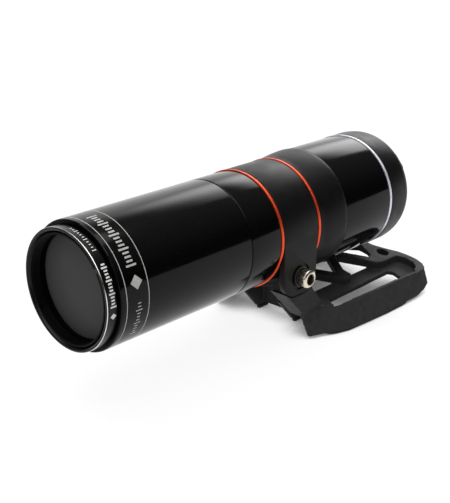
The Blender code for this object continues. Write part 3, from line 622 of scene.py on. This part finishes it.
def housing_parts():
    swell = [(SWELL_START + SWELL_STEP * i,
              SWELL_LOW + SWELL_RISE * (1 - (1 - i / SWELL_ROWS) ** 2))
             for i in range(1, SWELL_ROWS)]
    outer = ([(FLARE_FRONT, 26.95), (FLARE_FRONT + 0.3, 27.25), (SWELL_START, SWELL_LOW)] +
             swell + [(FLARE_REAR, 28.62)])
    inner = [(FLARE_FRONT, SLEEVE_BORE, DARK_AND_SHADE_BAND), (30.4, SLEEVE_BORE, DARK_AND_SHADE_BAND),
             (33.0, HOUSING_BORE, DARK_AND_SHADE_BAND), (FLARE_REAR, HOUSING_BORE, DARK_AND_SHADE_BAND)]
    piece("flare_sleeve", turned_mesh("flare_sleeve", eased(ring(outer, inner), 0.14, 3)),
          [SATIN, BORE], "tube", ("rear_flare",), TURNED)
    outer = [(SHELL_FRONT, SHELL_R - 0.2), (SHELL_FRONT + 0.2, SHELL_R),
             (SHELL_REAR - 0.3, SHELL_R), (SHELL_REAR, SHELL_R - 0.25)]
    inner = [(SHELL_FRONT, HOUSING_BORE, DARK_AND_SHADE_BAND), (SHELL_REAR, HOUSING_BORE, DARK_AND_SHADE_BAND)]
    piece("camera_shell", turned_mesh("camera_shell", eased(ring(outer, inner), 0.14, 3)),
          [GLOSS, BORE], "tube", ("rear_shell",), TURNED)
    outer = [(TRIM_FRONT, CAP_R - 0.25), (TRIM_FRONT + 0.2, CAP_R + 0.08),
             (TRIM_REAR - 0.2, CAP_R + 0.08), (TRIM_REAR, CAP_R - 0.25)]
    profile = eased(ring(outer, straight(TRIM_FRONT, TRIM_REAR, HOUSING_BORE)), 0.15, 3)
    piece("trim_band", turned_mesh("trim_band", profile), SILVER, "tube", ("trim_ring",),
          SOFT)


HOOD_ANGLE, HOOD_REACH = math.radians(40), 19.2
HOOD_X, HOOD_Z = HOOD_REACH * math.cos(HOOD_ANGLE), HOOD_REACH * math.sin(HOOD_ANGLE)
HOOD_TURN = (0, math.pi / 2 - HOOD_ANGLE, 0)
HOOD_SIZE, HOOD_EDGE, HOOD_OUT = (10.6, 4.6, 9.0), 2.2, 2.6
JACK_HOLE, JACK_EDGE = (7.0, 14, 5.0), 0.9
USB_X, USB_Z, USB_HOLE, USB_EDGE = -9.0, 8.0, (10.0, 8, 4.2), 1.2
LIGHT_Z, LIGHT_HOLE_R = -15.0, 1.8
SCREW_CIRCLE, SCREW_HOLE_R = 21.0, 1.5
CAP_SCREWS = [(SCREW_CIRCLE * math.cos(a), SCREW_CIRCLE * math.sin(a))
              for a in (math.radians(90 + 120 * i) for i in range(3))]
DOME_START, DOME_LENGTH, DOME_DROP = 90.6, 6.8, 3.9


def pin_cutter(x, z, radius):
    """A round cutter through the cap's rear wall."""
    profile = [(90, 0.0), (90, radius), (100, radius), (100, 0.0)]
    return helper("pin", turned_mesh("pin", profile, False, SMALL, at(x, 0, z)))


def cap_parts():
    dome = [(DOME_START + DOME_LENGTH * math.sin(t),
             CAP_R - 0.15 - DOME_DROP * (1 - math.cos(t)))
            for t in (math.radians(6 * i) for i in range(14, 0, -1))]
    outer = ([(CAP_END, 0.0), (CAP_END, 9.0)] + dome +
             [(90.2, CAP_R - 0.06), (90.0, CAP_R), (CAP_FRONT + 0.2, CAP_R),
              (CAP_FRONT, CAP_R - 0.3)])
    inner = [(CAP_FRONT, HOUSING_BORE), (93.6, HOUSING_BORE), (95.0, 25.0), (95.0, 0.0)]
    cap = helper("cap", turned_mesh("cap", outer + inner, False))
    jack_hole = helper("jack_hole", block("jack_hole", (HOOD_X, CAP_END, HOOD_Z), JACK_HOLE,
                                          HOOD_TURN, JACK_EDGE))
    usb_hole = helper("usb_hole", block("usb_hole", (USB_X, CAP_END, USB_Z), USB_HOLE,
                                        ease=USB_EDGE))
    cutters = [jack_hole, usb_hole, pin_cutter(0, LIGHT_Z, LIGHT_HOLE_R)]
    cutters += [pin_cutter(x, z, SCREW_HOLE_R) for x, z in CAP_SCREWS]
    for cutter in cutters:
        boolean(cap, cutter, "DIFFERENCE")
    piece("end_cap", baked(cap), SATIN, "tube", ("rear_cap",), DOMED)
    hood = helper("hood", block("hood", (HOOD_X, CAP_END + HOOD_OUT, HOOD_Z), HOOD_SIZE,
                                HOOD_TURN, HOOD_EDGE, 6))
    boolean(hood, jack_hole, "DIFFERENCE")
    piece("jack_shroud", baked(hood), SATIN, "tube", ("jack_hood",), EASED)
    cleared(cutters)


def rounded_section(x, z, width, height, corner, station, turn=0.0):
    """A rounded rectangle across the tube, as (x, station, z) points."""
    points = []
    for start, sx, sz in ((0, 1, 1), (90, -1, 1), (180, -1, -1), (270, 1, -1)):
        centre = (sx * (width / 2 - corner), sz * (height / 2 - corner))
        points += arc(centre, corner, start, start + 90, 5)
    c, s = math.cos(turn), math.sin(turn)
    return [(x + u * c + v * s, station, z - u * s + v * c) for u, v in points]


def sleeve(name, x, z, size, wall, corner, stations, turn=0.0):
    """A closed-backed sleeve: back, mouth and the depth of its bottom, in stations."""
    back, mouth, bottom = stations
    w, h = size
    inner_w, inner_h = w - 2 * wall, h - 2 * wall
    steps = [(w, h, back), (w, h, mouth - 0.12), (w - 0.24, h - 0.24, mouth),
             (inner_w + 0.2, inner_h + 0.2, mouth), (inner_w, inner_h, mouth - 0.15),
             (inner_w, inner_h, bottom)]
    rows = [rounded_section(x, z, a, b, min(corner, b / 2.05), s, turn) for a, b, s in steps]
    return loft_mesh(name, rows)


JACK_PINS, JACK_PITCH = 4, 0.95
USB_CONTACTS, USB_PITCH = 5, 1.1


def port_parts():
    mesh = sleeve("jack_sleeve", HOOD_X, HOOD_Z, size=(6.4, 4.4), wall=0.9, corner=0.7,
                  stations=(85.9, 101.7, 95.0), turn=HOOD_TURN[1])
    piece("jack_sleeve", mesh, PLASTIC, "tube", ("aux_jack",), EASED)
    for index in range(JACK_PINS):
        offset = (index - (JACK_PINS - 1) / 2) * JACK_PITCH
        x = HOOD_X + offset * math.cos(HOOD_TURN[1])
        z = HOOD_Z - offset * math.sin(HOOD_TURN[1])
        mesh = block("jack_pin", (x, 97.0, z), (0.4, 5.0, 0.4), HOOD_TURN, 0.1, 2)
        piece("jack_pin_%d" % (index + 1), mesh, GOLD, "tube", ())
    mesh = sleeve("usb_shell", USB_X, USB_Z, size=(9.2, 3.4), wall=0.6, corner=1.5,
                  stations=(86.1, 97.3, 92.2))
    piece("usb_shell", mesh, STEEL, "tube", ("usb_port",), EASED)
    tongue = block("usb_tongue", (USB_X, 94.2, USB_Z), (6.4, 4.4, 0.7), ease=0.15)
    piece("usb_tongue", tongue, PLASTIC, "tube", ())
    for index in range(USB_CONTACTS):
        x = USB_X + (index - (USB_CONTACTS - 1) / 2) * USB_PITCH
        mesh = block("usb_contact", (x, 94.6, USB_Z + 0.37), (0.5, 3.2, 0.08), ease=0.03,
                     segments=1)
        piece("usb_contact_%d" % (index + 1), mesh, GOLD, "tube", ())
    light = eased([(93.2, 0.0), (93.2, 1.5), (97.35, 1.5), (97.55, 0.9), (97.6, 0.0)], 0.2, 3,
                  False)
    piece("status_lamp", turned_mesh("status_lamp", light, False, SMALL, at(0, 0, LIGHT_Z)),
          LAMP, "tube", ("status_window",), ROUND)
    screw = [(89.0, 0.0), (89.0, 1.2), (97.7, 1.2), (97.7, 2.2), (98.2, 2.2), (98.6, 1.95),
             (98.8, 1.5), (98.8, 1.25), (98.65, 1.12), (97.95, 1.1), (97.9, 0.0)]
    socket_rows = (8, 9)
    for index, (x, z) in enumerate(CAP_SCREWS):
        mesh = turned_mesh("cap_screw", screw, False, SMALL, at(x, 0, z), wobble=lambda a, row: (
            hexagon(a) if row in socket_rows else 1.0))
        name = "cap_screw_%d" % (index + 1)
        piece("rear_" + name, mesh, STEEL, "tube", (name,), CRISP)


# ---- bracket and feet -------------------------------------------------------------------------
WELD = 0.002


def softened(node, voxel, rounds, keep):
    """The node's shape with its edges and inner corners eased, as cast and tumbled metal has."""
    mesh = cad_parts[node].data.copy()
    shape = bmesh.new()
    shape.from_mesh(mesh)
    bmesh.ops.remove_doubles(shape, verts=shape.verts, dist=WELD * MM)
    shape.to_mesh(mesh)
    shape.free()
    mesh.materials.clear()
    return baked(helper(node + "_soft", mesh),
                 ("REMESH", dict(mode="VOXEL", voxel_size=voxel * MM)),
                 ("SMOOTH", dict(factor=0.5, iterations=rounds)),
                 ("DECIMATE", dict(ratio=keep)))


def bracket_parts():
    piece("saddle_bracket", softened("bracket", voxel=0.3, rounds=5, keep=0.28), ANODISED,
          "bracket", ("bracket",), SOFT)
    for node in ("rail_foot_right", "rail_foot_left", "rib_foot_right", "rib_foot_left"):
        piece(node.replace("foot", "pad"), softened(node, voxel=0.14, rounds=4, keep=0.2),
              RUBBER, "bracket", (node,), SOFT)


# ---- printed marks ----------------------------------------------------------------------------
PRINT_RISE, PRINT_SINK = 0.035, 0.03  # how far print stands above and reaches under a surface
PATCH_STEP = 1.2                      # degrees between rows of a patch
DIAMOND_ROWS, TALL_EVERY = 24, 4
LINE_HALF = 0.17


def patch(shape, radius, stations, angles):
    """Add one thin curved patch of print between two stations and two angles in degrees."""
    steps = max(2, int(abs(angles[1] - angles[0]) / PATCH_STEP))
    top, foot = radius + PRINT_RISE, radius - PRINT_SINK
    rows = []
    for i in range(steps + 1):
        a = math.radians(angles[0] + (angles[1] - angles[0]) * i / steps)
        rows.append([shape.verts.new(at(r * math.cos(a), s, r * math.sin(a)))
                     for r, s in ((foot, stations[0]), (top, stations[0]),
                                  (top, stations[1]), (foot, stations[1]))])
    for near, far in zip(rows, rows[1:]):
        for k in range(4):
            n = (k + 1) % 4
            shape.faces.new((near[k], near[n], far[n], far[k]))
    shape.faces.new(rows[0][::-1])
    shape.faces.new(rows[-1])


def diamond(shape, radius, station, angle, half):
    """Add a diamond index mark as a stack of narrow patches."""
    for i in range(DIAMOND_ROWS):
        low = station - half + 2 * half * i / DIAMOND_ROWS
        high = low + 2 * half / DIAMOND_ROWS
        width = math.degrees((half - abs((low + high) / 2 - station)) / radius)
        patch(shape, radius, (low, high), (angle - width, angle + width))


def print_mesh(name, draw):
    """A mesh of printed patches, which draw() adds to a bmesh."""
    shape = bmesh.new()
    draw(shape)
    return finished(name, shape)


def ticks(shape, radius, station, start, stop, pitch, width, short, tall):
    """Add a scale of ticks round the tube, every few of them taller: angles in degrees, the
    middle's station and the lengths in mm."""
    count = int(round((stop - start) / pitch)) + 1
    for i in range(count):
        half = (short if i % TALL_EVERY else tall) / 2
        a = start + i * pitch
        patch(shape, radius, (station - half, station + half), (a - width / 2, a + width / 2))


def mark_parts():
    for name, station in (("print_line_front", -89.5), ("print_line_rear", -78.5)):
        front, rear = station - LINE_HALF, station + LINE_HALF
        profile = ring(straight(front, rear, TUBE_R + 0.03), straight(front, rear, TUBE_R - 0.05))
        piece(name, turned_mesh(name, profile), PRINT, "shield", (), EASED)

    def shield_scale(shape):
        ticks(shape, TUBE_R, station=-84.1, start=29.0, stop=86.6, pitch=3.6, width=1.7,
              short=3.0, tall=4.9)
        diamond(shape, TUBE_R, station=-83.9, angle=15.0, half=2.9)
        ticks(shape, TUBE_R, station=-83.4, start=-35.0, stop=-3.0, pitch=3.2, width=0.9,
              short=1.6, tall=3.2)

    def filter_scale(shape):
        ticks(shape, FILTER_R, station=-94.7, start=0.0, stop=37.0, pitch=2.9, width=1.5,
              short=1.7, tall=2.8)
        diamond(shape, FILTER_R, station=-94.7, angle=-9.0, half=1.35)
        ticks(shape, FILTER_R, station=-94.7, start=52.0, stop=85.0, pitch=3.3, width=0.9,
              short=1.0, tall=1.9)

    piece("shield_scale", print_mesh("shield_scale", shield_scale), PRINT, "shield", (),
          EASED)
    piece("filter_scale", print_mesh("filter_scale", filter_scale), PRINT_WHITE, "filter", (),
          EASED)


# ---- carried-over pieces ----------------------------------------------------------------------
CARRIED = {
    "objective_cell": SATIN, "lens_retainer": SATIN, "lens_spacer": SATIN,
    "field_baffle": SATIN, "sensor_carrier": SATIN, "sensor_board": BOARD,
    "main_board": BOARD, "image_sensor": CHIP, "standoff_1": BRASS, "standoff_2": BRASS,
    "standoff_3": BRASS, "shield_oring": RUBBER,
}

filter_parts()
shield_parts()
lens_parts()
accent_parts()
clamp_parts()
pivot_parts()
housing_parts()
cap_parts()
port_parts()
bracket_parts()
mark_parts()
for node, mat in CARRIED.items():
    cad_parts[node].data.materials.clear()
    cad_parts[node].data.materials.append(mat)


# ---- floor, light and camera ------------------------------------------------------------------
FLOOR_HALF, DOME_R = 4.0, 3.8         # metres
NEAR_SHADE, WIDE_SHADE = 18, 60       # reach of the contact shade on the floor
SHADE_DARK, SHADE_BRIGHT = 0.1, 0.9   # how strongly the floor glows in the shade and clear of it
BRACKET_START, BRACKET_STOP = 0.02, 0.06    # Y in metres over which the shade widens


def pale(name, roughness):
    """A pale material that glows white, and the socket for how strongly."""
    mat = surface(name, (0.1, 0.1, 0.1), roughness, specular=0.1, mottle=(3.0, 0.01))
    sockets = mat.node_tree.nodes["Principled BSDF"].inputs
    sockets["Emission Color"].default_value = (1, 1, 1, 1)
    return mat, sockets["Emission Strength"]


def stage_floor():
    shape = bmesh.new()
    bmesh.ops.create_grid(shape, x_segments=8, y_segments=8, size=FLOOR_HALF)
    floor = helper("floor", finished("floor", shape, outward=False))
    mat, glow = pale("floor_pale", 0.7)
    tree = mat.node_tree
    nodes, links = tree.nodes, tree.links

    def shade(reach, clear):
        node = nodes.new("ShaderNodeAmbientOcclusion")
        node.inputs["Distance"].default_value = reach * MM
        node.samples = 8
        return mapped(tree, node.outputs["AO"], 0.1, clear, SHADE_DARK, SHADE_BRIGHT)

    split = nodes.new("ShaderNodeSeparateXYZ")
    links.new(nodes.new("ShaderNodeTexCoord").outputs["Object"], split.inputs["Vector"])
    widened = nodes.new("ShaderNodeMix")
    links.new(mapped(tree, split.outputs["Y"], BRACKET_START, BRACKET_STOP, 0, 1),
              widened.inputs["Factor"])
    links.new(shade(NEAR_SHADE, 0.75), widened.inputs["A"])
    links.new(shade(WIDE_SHADE, 0.7), widened.inputs["B"])
    links.new(widened.outputs["Result"], glow)
    floor.data.materials.append(mat)


def backdrop():
    """A pale dome all round, for the camera alone: it lights, shades and mirrors nothing."""
    shape = bmesh.new()
    bmesh.ops.create_uvsphere(shape, u_segments=48, v_segments=24, radius=DOME_R)
    dome = helper("backdrop", finished("backdrop", shape, outward=False))
    mat, glow = pale("backdrop_pale", 0.9)
    mat.cycles.emission_sampling = "NONE"
    glow.default_value = 1.0
    dome.data.materials.append(mat)
    for ray in ("diffuse", "glossy", "transmission", "volume_scatter", "shadow"):
        setattr(dome, "visible_" + ray, False)


SUN_ENERGY, SUN_SPREAD = 2.4, math.radians(70)


def overhead_sun():
    """One soft lamp that shines straight down."""
    light = bpy.data.lights.new("overhead", "SUN")
    light.energy = SUN_ENERGY
    light.angle = SUN_SPREAD
    sun = helper("overhead", light)
    sun.location = (0, 0, 2)
    sun.visible_camera = False


def toward(azimuth, elevation):
    """A direction, its azimuth counted in degrees from +Y towards -X."""
    a, e = math.radians(azimuth), math.radians(elevation)
    return (-math.sin(a) * math.cos(e), math.cos(a) * math.cos(e), math.sin(e))


REAR_PANEL, FRONT_PANEL, TUBE_SIDE = toward(20, 30), toward(200, 40), toward(96, 0)
GLOW, HOT_SPOT, FRONT_GLOW = 1.4, 3.9, 1.6
# sines of the elevations over which the room lightens and the rear panel ends
ROOM_START, ROOM_STOP, PANEL_TOP_START, PANEL_TOP_STOP = 0.1, 1.0, 0.535, 0.74
SIDE_START, SIDE_STOP = -0.03, 0.05   # and of the angles over which it ends beside the tube
ROOM_DARK, ROOM_LIGHT = 0.015, 0.35


def studio_room():
    """A dark room that lightens a little overhead, with a large soft panel beyond the rear end
    of the tube, brightest in its middle, and a weaker panel at the objective end."""
    world = bpy.data.worlds.new("studio")
    world.use_nodes = True
    tree = world.node_tree
    nodes, links = tree.nodes, tree.links
    way = nodes.new("ShaderNodeTexCoord").outputs["Generated"]

    def along(direction):
        node = nodes.new("ShaderNodeVectorMath")
        node.operation = "DOT_PRODUCT"
        links.new(way, node.inputs[0])
        node.inputs[1].default_value = direction
        return node.outputs["Value"]

    def joined(operation, first, second):
        node = nodes.new("ShaderNodeMath")
        node.operation = operation
        links.new(first, node.inputs[0])
        links.new(second, node.inputs[1])
        return node.outputs["Value"]

    def within(direction, outer, inner, low, high):
        """Fade from low to high between two angles from a direction, in degrees."""
        return mapped(tree, along(direction), math.cos(math.radians(outer)),
                      math.cos(math.radians(inner)), low, high)

    height = along((0, 0, 1))
    panel = joined("ADD", within(REAR_PANEL, outer=80, inner=22, low=0.0, high=GLOW),
                   within(REAR_PANEL, outer=21, inner=5, low=0.0, high=HOT_SPOT))
    below_top = mapped(tree, height, PANEL_TOP_START, PANEL_TOP_STOP, 1.0, 0.0)
    panel = joined("MULTIPLY", panel, below_top)
    on_side = mapped(tree, along(TUBE_SIDE), SIDE_START, SIDE_STOP, 0.0, 1.0)
    panel = joined("MULTIPLY", panel, on_side)
    room = mapped(tree, height, ROOM_START, ROOM_STOP, ROOM_DARK, ROOM_LIGHT)
    room = joined("ADD", room, panel)
    front = within(FRONT_PANEL, outer=28, inner=14, low=0.0, high=FRONT_GLOW)
    room = joined("ADD", room, front)
    links.new(room, nodes["Background"].inputs["Color"])
    return world


CAMERA_PLACE = (281.7, -305.1, 147.6)
CAMERA_TURN = (math.radians(69.11), 0, math.radians(43.49))
CAMERA_LENS, SENSOR_WIDTH = 69.71, 36.0


def studio():
    stage_floor()
    backdrop()
    overhead_sun()
    scene.world = studio_room()
    scene.view_settings.view_transform = "Standard"
    camera_data = bpy.data.cameras.new("camera")
    camera_data.lens = CAMERA_LENS
    camera_data.sensor_width = SENSOR_WIDTH
    camera_data.clip_start = 0.01
    camera = helper("camera", camera_data)
    camera.location = at(*CAMERA_PLACE)
    camera.rotation_euler = CAMERA_TURN
    scene.camera = camera


studio()
